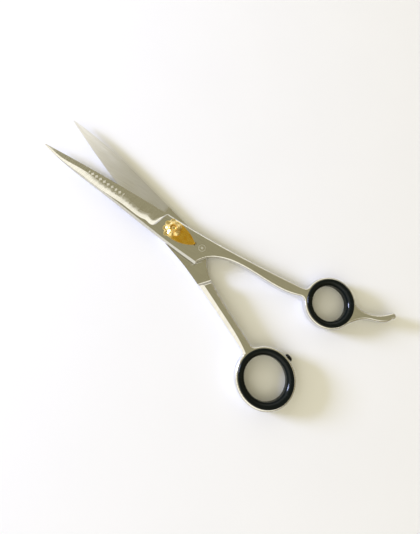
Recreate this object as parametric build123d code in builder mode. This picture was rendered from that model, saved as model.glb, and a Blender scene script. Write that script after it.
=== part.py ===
from build123d import *
import math
import os

# Hair cutting shears, seven inch, with an adjustable pivot.
# The finger half lies on top of the thumb half and they meet at the shear plane.
# Frame: millimetres, +Z up from the table, origin on the pivot axis at the table,
# +X along the finger blade towards its tip, +Y towards the thumb ring.
# Each forged half is drawn as the finger half lies: its cutting edge on the -Y side
# and its outer face up. The thumb half is then turned over and swung open.

# ---- driving dimensions -------------------------------------------------
blade_reach = 79.2  # pivot axis to the blade tips
rest_opening = 13.7  # degrees between the blades as they lie
shear_z = 3.3  # height of the shear plane above the table
half_thickness = 2.6  # shear plane to the outer face of one half
face_gap = 0.05  # each half stays this far from the shear plane
edge_rounding = 1.1  # rounding along the shields, shanks and rings

# blades
edge_thickness = 0.35  # steel left at a cutting edge
bevel_angle = 8.5  # degrees, slope of the ground bevel
tip_thinning = 1.45  # how much thinner a blade is at its tip
thinning_start = 10.0  # where a blade begins to thin
flute_hollow = 0.03  # depth of the concave flute beside the bevel, as a share of its width
grinding_limit_y = -14.0  # the grinding clears everything out to here, past the cutting edge
grinding_headroom = 3.0  # and this far above the outer face
heel_rounding_end_x = 7.0  # the front rim is rounded up to the heel of the bevel
shield_rounding_end_x = -18.4  # the other rims are rounded up to the shield's corner
back_bevel = 1.1  # bevel along the back, at the pivot
back_bevel_at_tip = 0.35
hollow_depth = 0.14  # concave grind of the inner face, at the pivot

# neck, where a shank rises across the shear plane
neck_angle = 24.5  # degrees between the step and the Y axis
neck_step_x = -21.2  # where the raised ride surface ends, on the pivot's line
neck_length = 9.3
neck_relief = 0.3
neck_radius = 1.8

# facet along the side of the thumb shank
facet_stations = ((0.16, 0.6), (0.25, 1.8), (0.6, 1.8), (0.88, 1.5), (0.97, 0.6))  # part way, width
facet_depth = 0.8  # how far it reaches down the side, and its slope

# rings
finger_ring_centre = (-85.0, -13.95)
finger_ring_radii = (13.2, 13.2)
finger_hole_radii = (8.85, 8.85)
finger_ring_tilt = 8.0
thumb_ring_centre = (-82.6, -15.35)
thumb_ring_radii = (15.2, 14.5)
thumb_hole_radii = (10.8, 10.0)
thumb_ring_tilt = 10.5  # degrees, the long axis points at the pivot
ring_joint_radius = 2.5
insert_height = 6.6
insert_wall = 2.0  # rubber between a finger hole and the steel
insert_lip = 1.3  # rubber that covers the steel beside it
lip_rounding = 0.6
hole_rounding = 2.4  # rims of a finger hole
groove_reach = 5.0  # how far the groove's cutter runs past the lip

# pivot
head_radius = 3.8
head_rounding = 0.35
journal_radius = 2.1
key_half_width = 1.7  # pivot axis to a flat of the keyed neck
thread_radius = 1.5
thread_runout = 0.3  # the keyed neck ends this far below the outer face
screw_end_chamfer = 0.25
bush_radius = 2.9
washer_radius = 4.8
washer_thickness = 0.5
spring_thickness = 0.5
spring_hole_radius = 1.65
spring_eye_radius = 4.6
spring_scallop_radius = 1.3
spring_scallop_circle = 4.3
locating_hole_radius = 0.85
locating_hole_depth = 1.5
locating_hole_x = -12.9
tab_width = 0.8
tab_thickness = 0.5
tab_depth = 1.0
tab_offset = 0.4  # the tab bears on the pivot's side of its hole
nut_radius = 4.1
nut_flange_height = 1.0
nut_hub_radius = 2.1
nut_hub_foot = 0.55  # how far the lobes' slope starts outside the hub
nut_hub_foot_height = 0.9
nut_hub_taper = 0.1
nut_hub_shoulder = 0.5
nut_mouth_width = 0.25  # countersink at the top of the thread
nut_mouth_depth = 0.35
nut_height = 2.9
nut_first_notch = 53  # degrees
nut_lobes = 5
nut_notch_radius = 1.5
nut_notch_depth = 0.7
screw_end_depth = 0.45  # the screw ends this far below the top of the nut

# bumper
bumper_radius = 1.95
bumper_height = 1.55
bumper_rounding = 0.9
bumper_stem_radius = 0.9
bumper_stem_length = 1.7
bumper_seat = 0.15  # flat spot under the bumper's head

# fits
running_fit = 0.03
rest_gap = 0.02  # between flat faces that turn on each other

top_z = shear_z + half_thickness
bottom_z = shear_z - half_thickness
thickness = 2 * half_thickness
inner_z = shear_z + face_gap  # inner face of a half, as drawn
spring_top_z = top_z + spring_thickness
nut_base_z = spring_top_z + rest_gap
beyond = 120.0  # longer than any cut needs

os.makedirs("parts", exist_ok=True)


def surface_z(x):
    """Height of the outer face of a half, which falls towards the blade's tip."""
    run = blade_reach - thinning_start
    return top_z - tip_thinning * max(0.0, (x - thinning_start) / run)


def grown(radii, amount):
    return (radii[0] + amount, radii[1] + amount)


def oval(radii, tilt, mode=Mode.ADD):
    """Outline in the open sketch: a true circle where both radii are the same."""
    if radii[0] == radii[1]:
        return Circle(radii[0], mode=mode)
    return Ellipse(*radii, rotation=tilt, mode=mode)


def back_bevel_section(point, tangent, size):
    """Triangle square to the back of a blade; its long side is the bevel."""
    outward = Vector(-tangent.Y, tangent.X, 0)
    plane = Plane(
        origin=(point.X, point.Y, surface_z(point.X)),
        x_dir=outward,
        z_dir=outward.cross(Vector(0, 0, 1)),
    )
    with BuildSketch(plane) as section:
        with BuildLine():
            Polyline((-size - 1, 1), (1, -size - 1), (1, 1), close=True)
        make_face()
    return section.sketch


def back_bevel_cutter(back_line):
    """Runs along the whole back of a blade, narrower towards the tip."""
    corner, tip = back_line @ 0, back_line @ 1
    sections = [back_bevel_section(corner - 4 * (back_line % 0), back_line % 0, back_bevel)]
    for part_way in (0.0, 0.3, 0.55, 0.8, 1.0):
        size = back_bevel + (back_bevel_at_tip - back_bevel) * part_way**2
        sections.append(back_bevel_section(back_line @ part_way, back_line % part_way, size))
    sections.append(back_bevel_section(tip + 3 * (back_line % 1), back_line % 1, back_bevel_at_tip))
    return loft(sections, mode=Mode.PRIVATE)


def ground_section(edge, x, border, ridge):
    """One slice across what grinding takes off a blade: bevel, flute and the space above."""
    tip, heel = edge[0], edge[2]
    edge_y = heel[1] + (x - heel[0]) * (tip[1] - heel[1]) / (tip[0] - heel[0])
    rise = math.tan(math.radians(bevel_angle))
    low = Vector(border, inner_z + edge_thickness + (border - edge_y) * rise)
    high = Vector(ridge, surface_z(x))
    chord = high - low
    middle = (low + high) / 2 + Vector(chord.Y, -chord.X) * flute_hollow
    with BuildSketch(Plane.YZ.offset(x)) as section:
        with BuildLine():
            ThreePointArc((low.X, low.Y), (middle.X, middle.Y), (high.X, high.Y))
            Polyline(
                (high.X, high.Y),
                (high.X, top_z + grinding_headroom),
                (grinding_limit_y, top_z + grinding_headroom),
                (grinding_limit_y, low.Y - (border - grinding_limit_y) * rise),
                (low.X, low.Y),
            )
        make_face()
    return section.sketch


def grinding_cutter(edge, flute):
    """Takes the outer face down to the bevel and the flute; it ends in a rounded heel."""
    return loft([ground_section(edge, *station) for station in flute], mode=Mode.PRIVATE)


def shank_facet(front_line):
    """Flat ground along the side of a shank, over its rim; it fades out at both ends."""
    sections = []
    for part_way, size in facet_stations:
        point, tangent = front_line @ part_way, front_line % part_way
        outward = Vector(-tangent.Y, tangent.X, 0)
        plane = Plane(
            origin=(point.X, point.Y, bottom_z),
            x_dir=outward,
            z_dir=Vector(0, 0, 1).cross(outward),
        )
        with BuildSketch(plane) as section:
            with BuildLine():
                Polyline(
                    (-size - 1, facet_depth),
                    (1, -facet_depth * (size + 1)),
                    (1, facet_depth),
                    close=True,
                )
            make_face()
        sections.append(section.sketch)
    return loft(sections, mode=Mode.PRIVATE)


def neck_cutter():
    """Clears the inner side in front of the neck: ride surface, step, relief and root."""
    angle = math.radians(neck_angle)
    normal = Vector(math.cos(angle), math.sin(angle), 0)
    upright = Plane(
        origin=(neck_step_x, 0, 0),
        x_dir=normal,
        z_dir=normal.cross(Vector(0, 0, 1)),
    )
    relief_z = inner_z + neck_relief
    wall = -neck_length - neck_radius
    with BuildPart() as cutter:
        with BuildSketch(upright):
            with BuildLine():
                Polyline(
                    (-neck_length, relief_z),
                    (0, relief_z),
                    (neck_relief, inner_z),
                    (beyond, inner_z),
                    (beyond, bottom_z - 1),
                    (wall, bottom_z - 1),
                    (wall, relief_z - neck_radius),
                )
                RadiusArc((wall, relief_z - neck_radius), (-neck_length, relief_z), neck_radius)
            make_face()
        extrude(amount=beyond, both=True)
    return cutter.part


def hollow_cutter(heel_side, tip_side):
    """Long shallow cut in the inner face; each end is (x, from y, to y, depth)."""
    ends = []
    for x, low, high, depth in (heel_side, tip_side):
        with BuildSketch(Plane.YZ.offset(x)) as end:
            with BuildLine():
                ThreePointArc((low, inner_z), ((low + high) / 2, inner_z + depth), (high, inner_z))
                Polyline((high, inner_z), (high, inner_z - 1), (low, inner_z - 1), (low, inner_z))
            make_face()
        ends.append(end.sketch)
    return loft(ends, ruled=True, mode=Mode.PRIVATE)


def forged_half(edge, front, neck, back, flute, hollow, ring_centre, ring_radii, tilt, rest=None):
    """Blade, shield, shank and ring in one piece, still without its holes."""
    with BuildPart() as half:
        with BuildSketch(Plane.XY.offset(bottom_z)):
            with BuildLine():
                edge_line = ThreePointArc(*edge)
                front_line = Spline([edge_line @ 1] + front)
                neck_line = Spline(neck)
                back_line = Spline([neck_line @ 1] + back)
                Line(back_line @ 1, edge_line @ 0)
                Line(front_line @ 1, neck_line @ 0)
            make_face()
            with Locations(ring_centre):
                oval(ring_radii, tilt)
            if rest:
                with BuildLine():
                    outer = Spline(rest[0])
                    inner = Spline(rest[2])
                    ThreePointArc(outer @ 1, rest[1], inner @ 0)
                    Line(inner @ 1, outer @ 0)
                make_face()
            joints = [v for v in vertices() if -100 < v.X < neck[0][0] + 6]
            fillet(joints, ring_joint_radius)
        extrude(amount=thickness)

        # the inner side is cleared in front of the neck, and both rims are rounded
        add(neck_cutter(), mode=Mode.SUBTRACT)
        outer_rim = faces().sort_by(Axis.Z)[-1].edges()
        plain = [e for e in outer_rim if e.geom_type != GeomType.LINE]
        rounded = [
            e
            for e in plain
            if (e @ 0.5).X < shield_rounding_end_x
            or ((e @ 0.5).Y < 0 and (e @ 0.5).X < heel_rounding_end_x)
        ]
        inner_rim = faces().sort_by(Axis.Z)[0].edges()
        fillet(rounded, edge_rounding)
        fillet(inner_rim, edge_rounding)

        # the blade: thinned, hollow inside, bevelled along the back, ground to its edge
        with BuildSketch(Plane.XZ):
            with BuildLine():
                Polyline(
                    (thinning_start, top_z),
                    (beyond, surface_z(beyond)),
                    (beyond, top_z + 1),
                    (thinning_start, top_z + 1),
                    close=True,
                )
            make_face()
        extrude(amount=beyond, both=True, mode=Mode.SUBTRACT)
        add(hollow_cutter(*hollow), mode=Mode.SUBTRACT)
        add(back_bevel_cutter(back_line), mode=Mode.SUBTRACT)
        add(grinding_cutter(edge, flute), mode=Mode.SUBTRACT)
        if not rest:
            # only the thumb shank shows this side, because that half lies turned over
            add(shank_facet(front_line), mode=Mode.SUBTRACT)
    return half.part


# ---- the two forgings ---------------------------------------------------
finger_half = forged_half(
    edge=[(blade_reach, 0), (38.3, -3.6), (7.2, -5.2)],
    front=[(-15.4, -6.4), (-40.1, -8.9), (-73, -13.4)],
    neck=[(-73, -9.6), (-42.8, -4.6), (-28, -1.7), (-23.2, 1.0), (-18.3, 8.3)],
    back=[(10.7, 7.0), (42.9, 4.6), (70, 2.4), (blade_reach - 0.2, 0.6)],
    flute=[
        (blade_reach + 2, 1.6, 2.6),
        (72, 0.9, 2.7),
        (60, 0.7, 3.0),
        (48, 0.3, 3.6),
        (36, 0.1, 3.95),
        (24, 0.2, 4.2),
        (16, 0.2, 4.35),
        (12, 0.0, 4.4),
        (10, -1.0, 4.2),
        (9, -2.4, 3.2),
        (8.2, -4.2, 0.8),
        (7.5, -6.2, -2.8),
        (7, -8.0, -6.0),
    ],
    hollow=[(9, -4.6, 6.6, hollow_depth), (76.5, 0.2, 1.0, 0.04)],
    ring_centre=finger_ring_centre,
    ring_radii=finger_ring_radii,
    tilt=finger_ring_tilt,
    rest=(
        [(-92.6, -23.2), (-101.8, -20.6), (-109.9, -24.0), (-114.6, -28.6)],
        (-117.0, -27.6),
        [(-116.0, -25.2), (-111.7, -20.5), (-104.3, -17.2), (-99.3, -12.2), (-96.5, -8.0)],
    ),
)

thumb_half = forged_half(
    edge=[(blade_reach, 0), (39, -5.0), (7.2, -6.8)],
    front=[(-2.7, -7.4), (-17.4, -7.9), (-29.5, -9.3), (-47.7, -11.9), (-70, -15.6)],
    neck=[(-70, -10.6), (-51.7, -7.5), (-41.5, -5.6), (-31, -2.9), (-22.6, 1.6), (-18.3, 8.0)],
    back=[(10.3, 6.6), (31.3, 5.9), (45.5, 5.2), (59.5, 3.8), (blade_reach - 0.2, 0.5)],
    flute=[
        (blade_reach + 2, 1.6, 2.6),
        (72, 0.9, 2.7),
        (60, 0.7, 3.0),
        (48, 0.3, 3.6),
        (36, 0.1, 3.9),
        (24, 0.0, 4.0),
        (16, 0.0, 4.0),
        (12, -0.2, 4.0),
        (10, -1.3, 3.8),
        (9, -2.9, 2.7),
        (8.2, -4.9, 0.2),
        (7.5, -7.1, -3.6),
        (7, -9.0, -7.0),
    ],
    hollow=[(9, -6.0, 6.1, hollow_depth), (76.5, 0.1, 0.8, 0.04)],
    ring_centre=thumb_ring_centre,
    ring_radii=thumb_ring_radii,
    tilt=thumb_ring_tilt,
)


def ring_opening(centre, radii, tilt):
    """What is taken out of a ring to make its hole."""
    with BuildPart() as opening:
        with BuildSketch(Plane.XY.offset(bottom_z - 1)):
            with Locations(centre):
                oval(radii, tilt)
        extrude(amount=thickness + 2)
    return opening.part


with BuildPart() as finger_blade:
    add(finger_half)
    finger_seat = grown(finger_hole_radii, insert_wall)
    add(ring_opening(finger_ring_centre, finger_seat, finger_ring_tilt), mode=Mode.SUBTRACT)
    # keyed hole for the screw's neck
    with BuildSketch(Plane.XY.offset(bottom_z)):
        Circle(journal_radius + running_fit)
        Rectangle(2 * (key_half_width + running_fit), beyond, mode=Mode.INTERSECT)
    extrude(amount=thickness + 1, mode=Mode.SUBTRACT)
    # recess for the glide washer, under the shield
    with BuildSketch(Plane.XY.offset(shear_z)):
        Circle(washer_radius + running_fit)
    extrude(amount=washer_thickness, mode=Mode.SUBTRACT)
    # hole that locates the leaf spring's tab
    with BuildSketch(Plane.XY.offset(top_z - locating_hole_depth)):
        with Locations((locating_hole_x, 0)):
            Circle(locating_hole_radius)
    extrude(amount=locating_hole_depth + 1, mode=Mode.SUBTRACT)

# the bumper stands on the line between the ring centres of the closed shears
towards_finger_ring = Vector(
    finger_ring_centre[0] - thumb_ring_centre[0],
    -finger_ring_centre[1] - thumb_ring_centre[1],
).normalized()
bumper_angle = math.atan2(towards_finger_ring.Y, towards_finger_ring.X) - math.radians(thumb_ring_tilt)
ring_reach = 1 / math.hypot(
    math.cos(bumper_angle) / thumb_ring_radii[0],
    math.sin(bumper_angle) / thumb_ring_radii[1],
)
bumper_foot = Vector(*thumb_ring_centre) + towards_finger_ring * (ring_reach - bumper_seat)
bumper_plane = Plane(origin=(bumper_foot.X, bumper_foot.Y, shear_z), z_dir=towards_finger_ring)

with BuildPart() as thumb_blade:
    add(thumb_half)
    thumb_seat = grown(thumb_hole_radii, insert_wall)
    add(ring_opening(thumb_ring_centre, thumb_seat, thumb_ring_tilt), mode=Mode.SUBTRACT)
    with BuildSketch(Plane.XY.offset(bottom_z)):
        Circle(bush_radius)
    extrude(amount=thickness + 1, mode=Mode.SUBTRACT)
    # flat spot and hole for the bumper
    with BuildSketch(bumper_plane):
        Circle(bumper_radius + running_fit)
    extrude(amount=3, mode=Mode.SUBTRACT)
    with BuildSketch(bumper_plane):
        Circle(bumper_stem_radius)
    extrude(amount=-bumper_stem_length, mode=Mode.SUBTRACT)


# ---- rubber -------------------------------------------------------------
def ring_insert(centre, hole_radii, tilt):
    """Rubber lining of a ring, with a lip over each face of the steel."""
    seat_radii = grown(hole_radii, insert_wall)
    with BuildPart() as insert:
        with BuildSketch(Plane.XY.offset(shear_z - insert_height / 2)):
            with Locations(centre):
                oval(grown(seat_radii, insert_lip), tilt)
        extrude(amount=insert_height)
        fillet(edges(), lip_rounding)
        with BuildSketch(Plane.XY.offset(shear_z - insert_height / 2)):
            with Locations(centre):
                oval(hole_radii, tilt)
        extrude(amount=insert_height, mode=Mode.SUBTRACT)
        inner_wall = faces().sort_by(SortBy.AREA)[0:8].sort_by_distance((*centre, shear_z))[0]
        fillet(inner_wall.edges().filter_by(lambda e: e.is_closed), hole_rounding)
        # groove that grips the steel
        with BuildSketch(Plane.XY.offset(bottom_z)):
            with Locations(centre):
                oval(grown(seat_radii, insert_lip + groove_reach), tilt)
                oval(seat_radii, tilt, mode=Mode.SUBTRACT)
        extrude(amount=thickness, mode=Mode.SUBTRACT)
    return insert.part


with BuildPart() as finger_ring_insert:
    add(ring_insert(finger_ring_centre, finger_hole_radii, finger_ring_tilt))

with BuildPart() as thumb_ring_insert:
    add(ring_insert(thumb_ring_centre, thumb_hole_radii, thumb_ring_tilt))

with BuildPart() as bumper:
    with BuildSketch(bumper_plane):
        Circle(bumper_radius)
    extrude(amount=bumper_height + bumper_seat)
    fillet(edges().filter_by(GeomType.CIRCLE).sort_by(Axis.Y)[-1], bumper_rounding)
    with BuildSketch(bumper_plane):
        Circle(bumper_stem_radius)
    extrude(amount=-bumper_stem_length)

# ---- pivot --------------------------------------------------------------
head_top_z = bottom_z - rest_gap
journal_top_z = shear_z + washer_thickness - rest_gap
thread_start_z = top_z - thread_runout
screw_top_z = nut_base_z + nut_height - screw_end_depth

with BuildPart() as pivot_screw:
    with BuildSketch():
        Circle(head_radius)
    extrude(amount=head_top_z)
    fillet(edges().sort_by(Axis.Z)[0], head_rounding)
    with BuildSketch(Plane.XY.offset(head_top_z)):
        Circle(journal_radius)
    extrude(amount=journal_top_z - head_top_z)
    with BuildSketch(Plane.XY.offset(journal_top_z)):
        Circle(journal_radius)
        Rectangle(2 * key_half_width, beyond, mode=Mode.INTERSECT)
    extrude(amount=thread_start_z - journal_top_z)
    with BuildSketch(Plane.XY.offset(thread_start_z)):
        Circle(thread_radius)
    extrude(amount=screw_top_z - thread_start_z)
    chamfer(edges().sort_by(Axis.Z)[-1], screw_end_chamfer)

with BuildPart() as pivot_bush:
    with BuildSketch(Plane.XY.offset(bottom_z)):
        Circle(bush_radius)
        Circle(journal_radius + running_fit, mode=Mode.SUBTRACT)
    extrude(amount=half_thickness - face_gap)

with BuildPart() as glide_washer:
    with BuildSketch(Plane.XY.offset(shear_z - face_gap + rest_gap)):
        Circle(washer_radius)
        Circle(journal_radius + running_fit, mode=Mode.SUBTRACT)
    extrude(amount=washer_thickness)

with BuildPart() as leaf_spring:
    with BuildSketch(Plane.XY.offset(top_z)):
        with BuildLine():
            far_side = Spline((1.5, -4.3), (-3.0, -4.0), (-7.0, -3.1), (-10.6, -1.5))
            near_side = Spline((-10.9, 2.4), (-7.2, 3.6), (-2.5, 4.3), (1.5, 4.4))
            ThreePointArc(far_side @ 1, (-12.5, 0.4), near_side @ 0)
            Line(near_side @ 1, far_side @ 0)
        make_face()
        Circle(spring_eye_radius)
        with PolarLocations(spring_scallop_circle, 4, start_angle=-52, angular_range=152):
            Circle(spring_scallop_radius)
        Circle(spring_hole_radius, mode=Mode.SUBTRACT)
    extrude(amount=spring_thickness)
    # tab bent down into its hole
    with BuildSketch(Plane.XY.offset(top_z - tab_depth)):
        with Locations((locating_hole_x + tab_offset, 0)):
            Rectangle(tab_thickness, tab_width)
    extrude(amount=tab_depth + spring_thickness)

with BuildPart() as tension_nut:
    with BuildSketch(Plane.XZ):
        with BuildLine():
            Polyline(
                (thread_radius + running_fit, 0),
                (nut_radius, 0),
                (nut_radius, nut_flange_height),
                (nut_hub_radius + nut_hub_foot, nut_flange_height + nut_hub_foot_height),
                (nut_hub_radius, nut_height - nut_hub_shoulder),
                (nut_hub_radius - nut_hub_taper, nut_height),
                (thread_radius + nut_mouth_width, nut_height),
                (thread_radius + running_fit, nut_height - nut_mouth_depth),
                close=True,
            )
        make_face()
    revolve(axis=Axis.Z)
    with BuildSketch():
        notch_circle = nut_radius + nut_notch_radius - nut_notch_depth
        with PolarLocations(notch_circle, nut_lobes, start_angle=nut_first_notch):
            Circle(nut_notch_radius)
    extrude(amount=nut_height, mode=Mode.SUBTRACT)

# ---- place the thumb half and write everything --------------------------
turned_and_opened = Rot(0, 0, -rest_opening) * Pos(0, 0, 2 * shear_z) * Rot(180, 0, 0)
pieces = {
    "finger_blade": finger_blade.part,
    "finger_ring_insert": finger_ring_insert.part,
    "pivot_screw": pivot_screw.part,
    "glide_washer": glide_washer.part,
    "leaf_spring": leaf_spring.part,
    "tension_nut": Pos(0, 0, nut_base_z) * tension_nut.part,
    "thumb_blade": turned_and_opened * thumb_blade.part,
    "thumb_ring_insert": turned_and_opened * thumb_ring_insert.part,
    "pivot_bush": pivot_bush.part,
    "bumper": turned_and_opened * bumper.part,
}
for name, piece in pieces.items():
    piece.label = name
    export_step(piece, f"parts/{name}.step")
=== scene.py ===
import math

import bmesh
import bpy
from mathutils import Matrix, Vector


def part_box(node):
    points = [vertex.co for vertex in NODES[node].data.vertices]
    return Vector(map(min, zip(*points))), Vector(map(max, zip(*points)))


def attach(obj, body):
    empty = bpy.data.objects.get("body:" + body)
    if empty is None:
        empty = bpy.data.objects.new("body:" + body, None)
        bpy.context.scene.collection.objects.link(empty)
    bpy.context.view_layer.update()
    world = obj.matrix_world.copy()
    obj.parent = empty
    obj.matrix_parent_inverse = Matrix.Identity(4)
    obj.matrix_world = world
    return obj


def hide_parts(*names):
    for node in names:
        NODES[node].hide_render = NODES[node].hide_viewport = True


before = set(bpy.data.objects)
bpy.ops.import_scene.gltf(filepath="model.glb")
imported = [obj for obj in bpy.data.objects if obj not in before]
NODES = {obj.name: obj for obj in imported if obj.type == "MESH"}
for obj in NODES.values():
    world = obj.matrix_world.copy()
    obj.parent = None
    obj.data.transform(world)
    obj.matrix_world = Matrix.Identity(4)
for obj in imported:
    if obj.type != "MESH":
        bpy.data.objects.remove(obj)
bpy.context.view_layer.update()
MM = 0.001

# ---- camera ---------------------------------------------------------------
IMAGE_SIZE = (420, 534)
FOCAL_PIXELS = 340
SENSOR = 36
EYE = Vector((-0.03037, 0.04212, 0.1683))
RIGHT = Vector((-0.8263, -0.5544, 0.0998))
UP = Vector((0.5625, -0.8026, 0.1987))

camera = bpy.data.objects.new("camera", bpy.data.cameras.new("camera"))
bpy.context.scene.collection.objects.link(camera)
back = RIGHT.cross(UP).normalized()
upright = back.cross(RIGHT).normalized()
axes = Matrix((RIGHT.normalized(), upright, back)).transposed().to_4x4()
camera.matrix_world = Matrix.Translation(EYE) @ axes
camera.data.sensor_width = SENSOR
camera.data.lens = SENSOR * FOCAL_PIXELS / max(IMAGE_SIZE)
camera.data.clip_start = 0.01
bpy.context.scene.camera = camera
bpy.context.scene.view_settings.view_transform = "Standard"

# ---- light ----------------------------------------------------------------
LEFT = Vector((-RIGHT.x, -RIGHT.y, 0)).normalized()
FAR = Vector((UP.x, UP.y, 0)).normalized()
MIDDLE = Vector((-0.02, 0.005, 0))  # near the middle of the part
CEILING_AXIS = Vector((0.04, -0.20, 1)).normalized()
CEILING_EDGE = (40, 37)  # degrees from its axis: where the ceiling begins and is full
CEILING_COLOUR = (0.385, 0.35, 0.205)
BRIGHT_SIDE = (LEFT + 0.3 * FAR + Vector((0, 0, 0.9))).normalized()
BRIGHT_WALL = (1.33, 1.27, 1.05)
LOW_WALL = (0.66, 0.64, 0.57)
LOW_WALL_EDGE = (0.03, 0.42)  # sines of the elevations between which the low wall fades out
DIM_WALL = (0.34, 0.29, 0.15)
DIM_WALL_EDGE = (-0.20, 0.18)  # cosines of the angles from BRIGHT_SIDE between which it fades out


def area_light(name, direction, elevation, distance, size, power, colour):
    """A soft rectangular light that looks at the object's middle."""
    light = bpy.data.lights.new(name, "AREA")
    light.shape = "RECTANGLE"
    light.size, light.size_y = size
    light.energy = power
    light.color = colour
    holder = bpy.data.objects.new(name, light)
    bpy.context.scene.collection.objects.link(holder)
    rise = math.radians(elevation)
    towards = direction.normalized() * math.cos(rise) + Vector((0, 0, math.sin(rise)))
    holder.location = MIDDLE + towards * distance
    holder.rotation_euler = towards.to_track_quat("Z", "Y").to_euler()


def dome():
    """A dim olive ceiling overhead; the walls are dim and warm on one side, and grey low down."""
    world = bpy.data.worlds.new("dome")
    world.use_nodes = True
    nodes, links = world.node_tree.nodes, world.node_tree.links
    nodes.clear()
    place = nodes.new("ShaderNodeTexCoord")
    background = nodes.new("ShaderNodeBackground")
    output = nodes.new("ShaderNodeOutputWorld")
    links.new(background.outputs[0], output.inputs[0])

    def towards(axis, low, high):
        facing = nodes.new("ShaderNodeVectorMath")
        facing.operation = "DOT_PRODUCT"
        facing.inputs[1].default_value = axis
        links.new(place.outputs["Generated"], facing.inputs[0])
        share = nodes.new("ShaderNodeMapRange")
        share.interpolation_type = "SMOOTHSTEP"
        share.inputs["From Min"].default_value = low
        share.inputs["From Max"].default_value = high
        links.new(facing.outputs["Value"], share.inputs["Value"])
        return share.outputs[0]

    def mixed(share, first, second):
        mix = nodes.new("ShaderNodeMix")
        mix.data_type = "RGBA"
        links.new(share, mix.inputs[0])
        for socket, colour in zip((mix.inputs[6], mix.inputs[7]), (first, second)):
            if isinstance(colour, bpy.types.NodeSocket):
                links.new(colour, socket)
            else:
                socket.default_value = (*colour, 1)
        return mix.outputs[2]

    walls = mixed(towards(Vector((0, 0, 1)), *LOW_WALL_EDGE), LOW_WALL, BRIGHT_WALL)
    walls = mixed(towards(BRIGHT_SIDE, *DIM_WALL_EDGE), DIM_WALL, walls)
    edge, full = (math.cos(math.radians(angle)) for angle in CEILING_EDGE)
    room = mixed(towards(CEILING_AXIS, edge, full), walls, CEILING_COLOUR)
    links.new(room, background.inputs["Color"])
    bpy.context.scene.world = world


area_light(
    "window",
    direction=LEFT + 0.25 * FAR,
    elevation=15,
    distance=1.2,
    size=(0.36, 0.22),
    power=29,
    colour=(0.56, 0.62, 0.95),
)
dome()


# ---- materials ------------------------------------------------------------
SHEAR_HEIGHT = 3.3  # mm, the plane where the halves meet
NOISE_RANGE = (0.3, 0.7)  # most values of a noise lie between these


class Finish:
    """Short hand for the nodes of one material."""

    def __init__(self, name, metallic=0.0, specular=0.5):
        self.material = bpy.data.materials.new(name)
        self.material.use_nodes = True
        self.nodes = self.material.node_tree.nodes
        self.links = self.material.node_tree.links
        self.shader = self.nodes["Principled BSDF"]
        self.shader.inputs["Metallic"].default_value = metallic
        self.shader.inputs["Specular IOR Level"].default_value = specular
        self.place = self.nodes.new("ShaderNodeTexCoord")

    def feed(self, socket, value):
        """Links another node's output to the socket, or sets its value."""
        if isinstance(value, bpy.types.NodeSocket):
            self.links.new(value, socket)
        else:
            socket.default_value = value

    def maths(self, operation, *values):
        node = self.nodes.new("ShaderNodeMath")
        node.operation = operation
        for socket, value in zip(node.inputs, values):
            self.feed(socket, value)
        return node.outputs[0]

    def plus(self, first, second):
        return self.maths("ADD", first, second)

    def minus(self, first, second):
        return self.maths("SUBTRACT", first, second)

    def times(self, first, second):
        return self.maths("MULTIPLY", first, second)

    def size(self, value):
        return self.maths("ABSOLUTE", value)

    def length(self, first, second):
        squares = self.plus(self.maths("POWER", first, 2), self.maths("POWER", second, 2))
        return self.maths("SQRT", squares)

    def spread(self, value, low, high, to_low=0.0, to_high=1.0):
        """Maps low..high smoothly to to_low..to_high, and holds it there outside."""
        node = self.nodes.new("ShaderNodeMapRange")
        node.interpolation_type = "SMOOTHSTEP"
        for socket, number in zip(node.inputs, (value, low, high, to_low, to_high)):
            self.feed(socket, number)
        return node.outputs[0]

    def noise(self, per_mm, detail=3.0, vector=None):
        """Noise with its own number of features in a millimetre along X, Y and Z."""
        stretch = self.nodes.new("ShaderNodeMapping")
        stretch.inputs["Scale"].default_value = Vector(per_mm) / MM
        self.feed(stretch.inputs["Vector"], vector or self.place.outputs["Object"])
        node = self.nodes.new("ShaderNodeTexNoise")
        node.inputs["Scale"].default_value = 1.0
        node.inputs["Detail"].default_value = detail
        self.feed(node.inputs["Vector"], stretch.outputs[0])
        return node.outputs["Fac"]

    def blend(self, share, first, second):
        node = self.nodes.new("ShaderNodeMix")
        node.data_type = "FLOAT"
        self.feed(node.inputs[0], share)
        self.feed(node.inputs[2], first)
        self.feed(node.inputs[3], second)
        return node.outputs[0]

    def tint(self, share, first, second):
        node = self.nodes.new("ShaderNodeMix")
        node.data_type = "RGBA"
        self.feed(node.inputs[0], share)
        for socket, colour in zip((node.inputs[6], node.inputs[7]), (first, second)):
            self.feed(socket, colour if isinstance(colour, bpy.types.NodeSocket) else (*colour, 1))
        return node.outputs[2]

    def axes(self, vector):
        split = self.nodes.new("ShaderNodeSeparateXYZ")
        self.feed(split.inputs[0], vector)
        return split.outputs

    def millimetres(self):
        """X, Y and Z of the surface in the row's frame, in millimetres."""
        return [self.maths("DIVIDE", part, MM) for part in self.axes(self.place.outputs["Object"])]

    def done(self, colour, roughness, height, depth_mm):
        bump = self.nodes.new("ShaderNodeBump")
        bump.inputs["Strength"].default_value = 1.0
        bump.inputs["Distance"].default_value = depth_mm * MM
        self.feed(bump.inputs["Height"], height)
        self.feed(self.shader.inputs["Base Color"], colour)
        self.feed(self.shader.inputs["Roughness"], roughness)
        self.feed(self.shader.inputs["Normal"], bump.outputs[0])
        return self.material


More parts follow.
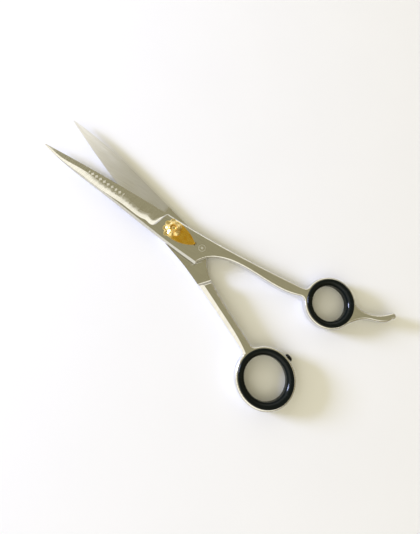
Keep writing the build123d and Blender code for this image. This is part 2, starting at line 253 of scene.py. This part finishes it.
def etched_band(finish, x, y):
    """Row of small frosted diamonds along the bevel: 1 on a diamond and 0 off it."""
    start, end, fade = 31.0, 52.6, 0.2
    pitch, middle = 2.4, -0.75
    half_width, half_height = 0.4 * pitch, 1.15
    core, rim = 0.82, 0.95
    along = finish.maths("DIVIDE", finish.maths("PINGPONG", x, pitch / 2), half_width)
    across = finish.maths("DIVIDE", finish.size(finish.minus(y, middle)), half_height)
    diamonds = finish.spread(finish.plus(along, across), core, rim, 1.0, 0.0)
    started = finish.spread(x, start, start + fade)
    not_ended = finish.spread(x, end, end + fade, 1.0, 0.0)
    return finish.times(diamonds, finish.times(started, not_ended))


def etched_ring(finish, x, y):
    """Plain ring with a dot in the middle, on the shield: 1 on the marks and 0 off them."""
    centre_x, centre_y, radius = -16.8, -0.25, 1.65
    line_core, line_rim = 0.10, 0.18
    dot_core, dot_rim = 0.6, 0.7
    distance = finish.length(finish.minus(x, centre_x), finish.minus(y, centre_y))
    ring = finish.spread(finish.size(finish.minus(distance, radius)), line_core, line_rim, 1.0, 0.0)
    dot = finish.spread(distance, dot_core, dot_rim, 1.0, 0.0)
    return finish.maths("MAXIMUM", ring, dot)


def steel(name, marked):
    """Satin steel: ground across on the slopes, polished along on the flats, with handling smudges.

    The hollow inner face of a blade is duller. Its bump also shades it as if it leaned more and more
    towards the tip; the mesh has no such lean.
    """
    flat_facing = (0.991, 0.998)  # Z of the normal, from slope to flat
    outer_facing = (0.5, 0.7)  # Z of the normal, from the sides to the outer face
    inner_face = (0.22, 0.30)  # mm from the shear plane, within which the inner face lies
    blade_start = (7.5, 11.0)  # mm along the blade
    lean_start, lean_rate = 9, 1.35
    satin = (0.11, 0.15)
    smudge_tint, smudge_dulling = 0.3, 0.05
    hollow_dulling, mark_dulling = 0.19, 0.35
    clean_mark, smudged_mark = 0.85, 0.55
    dark, light = (0.70, 0.70, 0.71), (0.77, 0.77, 0.78)
    smudged, frosted = (0.65, 0.64, 0.62), (0.88, 0.87, 0.84)
    finish = Finish(name, metallic=1.0)
    x, y, z = finish.millimetres()
    upward = finish.axes(finish.place.outputs["Normal"])[2]
    flat = finish.spread(finish.size(upward), *flat_facing)
    off_shear = finish.size(finish.minus(z, SHEAR_HEIGHT))
    hollow = finish.times(finish.spread(off_shear, *inner_face, 1.0, 0.0), finish.spread(x, *blade_start))
    ground = finish.noise((4.5, 0.12, 0.12), 5)
    polished = finish.noise((0.10, 5.0, 5.0), 5)
    lines = finish.blend(flat, ground, polished)
    smudge = finish.spread(finish.noise((0.11, 0.14, 0.14), 4), 0.42, 0.68)
    roughness = finish.plus(finish.spread(lines, *NOISE_RANGE, *satin), finish.times(smudge, smudge_dulling))
    roughness = finish.plus(roughness, finish.times(hollow, hollow_dulling))
    colour = finish.tint(finish.spread(lines, 0.35, 0.65), dark, light)
    colour = finish.tint(finish.times(smudge, smudge_tint), colour, smudged)
    past_start = finish.maths("MAXIMUM", finish.minus(x, lean_start), 0)
    lean = finish.times(finish.maths("POWER", past_start, 2), lean_rate)
    height = finish.minus(lines, finish.times(hollow, lean))
    if marked:
        marks = finish.maths("MAXIMUM", etched_band(finish, x, y), etched_ring(finish, x, y))
        marks = finish.times(marks, finish.spread(upward, *outer_facing))
        marks = finish.times(marks, finish.spread(smudge, 0.0, 1.0, clean_mark, smudged_mark))
        colour = finish.tint(marks, colour, frosted)
        roughness = finish.plus(roughness, finish.times(marks, mark_dulling))
        height = finish.minus(height, marks)
    return finish.done(colour, roughness, height, depth_mm=0.0009)


def rubber(name, seam_height=None):
    """Glossy moulded rubber with faint scuffs and, on a ring insert, a mould seam at mid height."""
    gloss, scuff_dulling = (0.12, 0.18), 0.14
    seam_core, seam_rim, seam_rise = 0.05, 0.14, 6.0
    finish = Finish(name, specular=0.20)
    grain = finish.noise((7.0, 7.0, 7.0), 4)
    scuffs = finish.spread(finish.noise((0.25, 1.6, 0.9), 5), 0.52, 0.72)
    colour = finish.tint(scuffs, (0.0018, 0.0040, 0.0042), (0.0050, 0.0080, 0.0082))
    roughness = finish.plus(finish.spread(grain, *NOISE_RANGE, *gloss), finish.times(scuffs, scuff_dulling))
    height = grain
    if seam_height is not None:
        z = finish.millimetres()[2]
        off = finish.size(finish.minus(z, seam_height))
        height = finish.plus(grain, finish.spread(off, seam_core, seam_rim, seam_rise, 0.0))
    return finish.done(colour, roughness, height, depth_mm=0.006)


def gilt(name, dark, light, turned):
    """Gilt brass with patches of tarnish: turned in rings, or brushed along with a painted highlight round
    the screw.
    """
    satin, tarnish_dulling = (0.22, 0.28), 0.06
    # pale and where it starts along X: the colour and reach of a painted highlight round the screw
    pale, painted_highlight_start = (0.93, 0.74, 0.36), (-2.5, -0.5)
    finish = Finish(name, metallic=1.0)
    x, y, z = finish.millimetres()
    if turned:
        join = finish.nodes.new("ShaderNodeCombineXYZ")
        finish.feed(join.inputs[0], finish.times(finish.length(x, y), MM))
        finish.feed(join.inputs[2], finish.times(z, MM))
        lines = finish.noise((9.0, 1.0, 9.0), 4, join.outputs[0])
    else:
        lines = finish.noise((0.5, 8.0, 8.0), 4)
    tarnish = finish.spread(finish.noise((0.5, 0.5, 0.5), 4), 0.40, 0.70)
    colour = finish.tint(tarnish, light, dark)
    if not turned:
        # Paler towards the screw: a painted highlight, where the bowed plate would reflect the window light
        colour = finish.tint(finish.spread(x, *painted_highlight_start), colour, pale)
    dulling = finish.times(tarnish, tarnish_dulling)
    roughness = finish.plus(finish.spread(lines, *NOISE_RANGE, *satin), dulling)
    return finish.done(colour, roughness, lines, depth_mm=0.004)


def nylon():
    """Plain white moulded nylon."""
    finish = Finish("nylon")
    grain = finish.noise((3.0, 3.0, 3.0), 4)
    colour = finish.tint(grain, (0.80, 0.79, 0.74), (0.88, 0.87, 0.83))
    return finish.done(colour, finish.spread(grain, *NOISE_RANGE, 0.36, 0.48), grain, depth_mm=0.01)


def table_top():
    """Pale matt table with a faint mottle."""
    finish = Finish("table_top", specular=0.25)
    mottle = finish.noise((0.02, 0.02, 0.02), 4)
    tooth = finish.noise((2.0, 2.0, 2.0), 3)
    colour = finish.tint(mottle, (0.885, 0.885, 0.885), (0.915, 0.915, 0.910))
    return finish.done(colour, finish.spread(tooth, *NOISE_RANGE, 0.50, 0.62), tooth, depth_mm=0.01)


# ---- turned pieces --------------------------------------------------------
MERGE_DISTANCE = 1e-7  # m
SHARP_ANGLE = math.radians(42)


def turned_piece(name, section, columns, closed):
    """Mesh swept round the pivot axis; section(angle) gives its (radius, height) points in mm."""
    builder = bmesh.new()
    rows = []
    for column in range(columns):
        angle = 2 * math.pi * column / columns
        ray = Vector((math.cos(angle), math.sin(angle), 0))
        rows.append([builder.verts.new((ray * r + Vector((0, 0, h))) * MM) for r, h in section(angle)])
    for near, far in zip(rows, rows[1:] + rows[:1]):
        count = len(near)
        for step in range(count if closed else count - 1):
            after = (step + 1) % count
            builder.faces.new((near[step], far[step], far[after], near[after]))
    bmesh.ops.remove_doubles(builder, verts=builder.verts, dist=MERGE_DISTANCE)
    bmesh.ops.recalc_face_normals(builder, faces=builder.faces)
    for face in builder.faces:
        face.smooth = True
    mesh = bpy.data.meshes.new(name)
    builder.to_mesh(mesh)
    builder.free()
    mesh.set_sharp_from_angle(angle=SHARP_ANGLE)
    piece = bpy.data.objects.new(name, mesh)
    bpy.context.scene.collection.objects.link(piece)
    return piece


NUT_LOW, NUT_HIGH = (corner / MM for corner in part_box("tension_nut"))
NUT_RADIUS = NUT_HIGH.x
NUT_BASE = NUT_LOW.z
NUT_HEIGHT = NUT_HIGH.z - NUT_LOW.z
NUT_LOBES = 5
NUT_FIRST_NOTCH = math.radians(53)
NUT_NOTCH_DEPTH = 0.7
NUT_NOTCH_SHARPNESS = 1.8
NUT_RIM_ROUNDING = 0.18
NUT_BORE = 1.53
HUB_RADIUS = 2.1
HUB_FOOT = 2.4


def nut_section(angle):
    """Domed petal that falls from the hub to the rim, lower and shorter in a notch."""
    petal_edge, edge_drop = 0.70, 0.20
    petal_foot, foot_drop = 1.45, 0.35
    petal_swell, slope_steps = 0.12, 9
    notch = ((1 + math.cos(NUT_LOBES * (angle - NUT_FIRST_NOTCH))) / 2) ** NUT_NOTCH_SHARPNESS
    rim = NUT_RADIUS - NUT_NOTCH_DEPTH * notch
    slope_start = rim - NUT_RIM_ROUNDING
    edge_height = petal_edge - edge_drop * notch
    foot_height = petal_foot - foot_drop * notch
    swell = petal_swell * (1 - notch)
    points = [(NUT_BORE + 0.1, 0), (rim - 0.2, 0), (rim - 0.06, 0.06), (rim, 0.2)]
    points += [(rim, edge_height - 0.25), (rim - 0.05, edge_height - 0.1), (slope_start, edge_height)]
    for step in range(1, slope_steps + 1):
        share = step / slope_steps
        radius = slope_start + (HUB_FOOT - slope_start) * share
        rise = edge_height + (foot_height - edge_height) * share + swell * math.sin(math.pi * share)
        points.append((radius, rise))
    points += [(HUB_RADIUS + 0.08, foot_height + 0.12), (HUB_RADIUS, foot_height + 0.35)]
    points += [(HUB_RADIUS, NUT_HEIGHT - 0.22), (HUB_RADIUS - 0.05, NUT_HEIGHT - 0.06)]
    points += [(HUB_RADIUS - 0.16, NUT_HEIGHT), (NUT_BORE + 0.22, NUT_HEIGHT)]
    points += [(NUT_BORE + 0.12, NUT_HEIGHT - 0.05), (NUT_BORE, NUT_HEIGHT - 0.3), (NUT_BORE, 0.1)]
    return [(radius, NUT_BASE + height) for radius, height in points]


PLATE_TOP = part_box("leaf_spring")[1].z / MM
PLATE_THICKNESS = 0.5
PLATE_HOLE = 1.65
EYE_RADIUS = 4.6
SCALLOPS = 4
SCALLOP_RADIUS = 1.3
SCALLOP_CIRCLE = 4.3
FIRST_SCALLOP = math.radians(-52)
SCALLOP_STEP = math.radians(38)
LEAF_LIMIT = 0.3  # cosine of the turn from +X; nearer to +X than that, a ray misses the leaf
PLATE_SIDES = (((1.5, -4.3), (-7, -3.1), (-12, -0.6)), ((1.5, 4.4), (-7.2, 3.6), (-11.9, 1.2)))
PLATE_END = ((-4.0, 0.2), 8.4)  # centre and radius of the rounding at the leaf's point


def disc_through(first, second, third):
    """Centre and radius of the circle through three points."""
    first, second, third = Vector(first), Vector(second), Vector(third)
    chord, span = second - first, third - first
    across_chord = Vector((chord.y, -chord.x))
    across_span = Vector((span.y, -span.x))
    lift = across_span * chord.length_squared - across_chord * span.length_squared
    offset = lift / (2 * chord.cross(span))
    return first + offset, offset.length


def reach_of_disc(ray, centre, radius):
    """Distance from the pivot axis, along a ray, to the far side of a disc; 0 where it misses."""
    along = ray.dot(Vector(centre))
    inside = radius**2 - Vector(centre).length_squared + along**2
    return along + math.sqrt(inside) if inside > 0 else 0


def plate_reach(angle):
    """Outline of the plate: a pointed leaf, round the screw a scalloped eye."""
    ray = Vector((math.cos(angle), math.sin(angle)))
    discs = [disc_through(*side) for side in PLATE_SIDES] + [PLATE_END]
    leaf = min(reach_of_disc(ray, *disc) for disc in discs) if ray.x < LEAF_LIMIT else 0
    scallops = [0]
    for number in range(SCALLOPS):
        turn = FIRST_SCALLOP + SCALLOP_STEP * number
        middle = (SCALLOP_CIRCLE * math.cos(turn), SCALLOP_CIRCLE * math.sin(turn))
        scallops.append(reach_of_disc(ray, middle, SCALLOP_RADIUS))
    return max(EYE_RADIUS, leaf, *scallops)


def plate_section(angle):
    """Flat under the nut; the scallops slope down to their rims, and the leaf is softly crowned."""
    leaf_reach, leaf_fade = 7.5, 2
    crown, scallop_slope, slope_curve = 0.10, 0.12, 1.5
    covered_by_nut = 0.35
    steps = 8
    reach = plate_reach(angle)
    eye = max(0.0, min(1.0, (leaf_reach - reach) / leaf_fade))
    droop = crown + scallop_slope * eye
    base = PLATE_TOP - PLATE_THICKNESS
    points = [(PLATE_HOLE, base), (reach - 0.12, base), (reach, base + 0.06)]
    slope_start = NUT_RADIUS - covered_by_nut
    for step in range(steps + 1):
        share = 1 - step / steps
        radius = slope_start + (reach - slope_start) * share
        points.append((radius, PLATE_TOP - droop * share**slope_curve))
    points.append((PLATE_HOLE, PLATE_TOP))
    return points


SCREW_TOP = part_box("pivot_screw")[1].z / MM
HEAD_RADIUS = 3.8
HEAD_TOP = 0.68
JOURNAL_RADIUS = 2.1
JOURNAL_TOP = 3.78
KEY_HALF_WIDTH = 1.7
THREAD_START = 5.6
THREAD_RADIUS = 1.5
THREAD_PITCH = 0.4
THREAD_DEPTH = 0.16
ROWS_PER_PITCH = 8


def screw_section(angle):
    """Flat head with a shallow recess, journal, keyed neck, and a thread that climbs one pitch a turn."""
    recess_radius, recess_rim, recess_depth = 1.1, 1.4, 0.12
    rounded_end, end_radius, end_taper, end_steps = 0.32, 1.05, 0.3, 6
    neck = min(JOURNAL_RADIUS, KEY_HALF_WIDTH / max(abs(math.cos(angle)), 0.01))
    points = [(0, recess_depth), (recess_radius, recess_depth), (recess_rim, 0.02)]
    points += [(HEAD_RADIUS - 0.35, 0), (HEAD_RADIUS - 0.1, 0.1), (HEAD_RADIUS, 0.35)]
    points += [(HEAD_RADIUS, HEAD_TOP), (JOURNAL_RADIUS, HEAD_TOP)]
    points += [(JOURNAL_RADIUS, JOURNAL_TOP), (neck, JOURNAL_TOP), (neck, THREAD_START)]
    thread_top = SCREW_TOP - rounded_end - end_taper
    rows = round((thread_top - THREAD_START) / THREAD_PITCH * ROWS_PER_PITCH)
    for row in range(rows + 1):
        height = THREAD_START + (thread_top - THREAD_START) * row / rows
        turn = (height / THREAD_PITCH - angle / (2 * math.pi)) % 1
        fade = min(1, (thread_top - height) / THREAD_PITCH, (height - THREAD_START) / THREAD_PITCH)
        points.append((THREAD_RADIUS - THREAD_DEPTH * fade * abs(2 * turn - 1), height))
    for step in range(end_steps + 1):
        lean = math.pi / 2 * step / end_steps
        rise = end_taper + rounded_end * math.sin(lean)
        points.append((end_radius * math.cos(lean), thread_top + rise))
    return points


def bent_tab():
    """Strip at the plate's point, bent down into its hole in the shield."""
    half_width, thickness, corner_rounding = 0.4, 0.3, 0.06
    route = [(-11.9, PLATE_TOP + 0.02), (-12.4, PLATE_TOP), (-12.72, PLATE_TOP - 0.14)]
    route += [(-12.88, PLATE_TOP - 0.45), (-12.9, PLATE_TOP - 0.95), (-12.9, PLATE_TOP - 1.4)]
    builder = bmesh.new()
    rings = []
    for place, (x, z) in enumerate(route):
        before, after = route[max(place - 1, 0)], route[min(place + 1, len(route) - 1)]
        run = Vector((after[0] - before[0], after[1] - before[1])).normalized()
        outer = Vector((x, 0, z))
        inner = outer + Vector((-run.y, 0, run.x)) * thickness
        sides = [(outer, half_width), (outer, -half_width), (inner, -half_width), (inner, half_width)]
        rings.append([builder.verts.new((point + Vector((0, side, 0))) * MM) for point, side in sides])
    for near, far in zip(rings, rings[1:]):
        for corner in range(4):
            after = (corner + 1) % 4
            builder.faces.new((near[corner], near[after], far[after], far[corner]))
    builder.faces.new(rings[0])
    builder.faces.new(rings[-1])
    bmesh.ops.recalc_face_normals(builder, faces=builder.faces)
    mesh = bpy.data.meshes.new("bent_tab")
    builder.to_mesh(mesh)
    builder.free()
    tab = bpy.data.objects.new("bent_tab", mesh)
    bpy.context.scene.collection.objects.link(tab)
    rounding = tab.modifiers.new("rounding", "BEVEL")
    rounding.width = corner_rounding * MM
    rounding.segments = 3
    return tab


# ---- finishes on the pieces ----------------------------------------------
gilt_nut = gilt("gilt_nut", (0.74, 0.50, 0.17), (0.93, 0.74, 0.36), turned=True)
gilt_plate = gilt("gilt_plate", (0.84, 0.45, 0.04), (0.97, 0.60, 0.09), turned=False)
ring_rubber = rubber("ring_rubber", SHEAR_HEIGHT)
nylon_white = nylon()
FINISHES = {
    "finger_blade": steel("steel_marked", marked=True),
    "thumb_blade": steel("steel", marked=False),
    "finger_ring_insert": ring_rubber,
    "thumb_ring_insert": ring_rubber,
    "bumper": rubber("bumper_rubber"),
    "pivot_bush": nylon_white,
    "glide_washer": nylon_white,
}
for node, material in FINISHES.items():
    for slot in NODES[node].material_slots:
        slot.material = material

for piece_name, section, columns, closed, material, body, node, slot in (
    ("lobed_nut", nut_section, 180, True, gilt_nut, "nut", "tension_nut", "gilt_brass"),
    ("threaded_screw", screw_section, 96, False, gilt_nut, "finger_half", "pivot_screw", "gilt_screw"),
    ("leaf_plate", plate_section, 240, True, gilt_plate, "finger_half", "leaf_spring", "gilt_brass"),
):
    piece = turned_piece(piece_name, section, columns, closed)
    piece.data.materials.append(material)
    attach(piece, body)
    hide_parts(node)

tab = bent_tab()
tab.data.materials.append(gilt_plate)
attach(tab, "finger_half")


# ---- floor ----------------------------------------------------------------
def floor():
    """Plain pale table top, just under the part."""
    half, drop = 3.0, 0.0001  # m
    mesh = bpy.data.meshes.new("floor")
    corners = [(-half, -half, -drop), (half, -half, -drop), (half, half, -drop), (-half, half, -drop)]
    mesh.from_pydata([Vector(corner) for corner in corners], [], [(0, 1, 2, 3)])
    mesh.materials.append(table_top())
    table = bpy.data.objects.new("floor", mesh)
    bpy.context.scene.collection.objects.link(table)


floor()
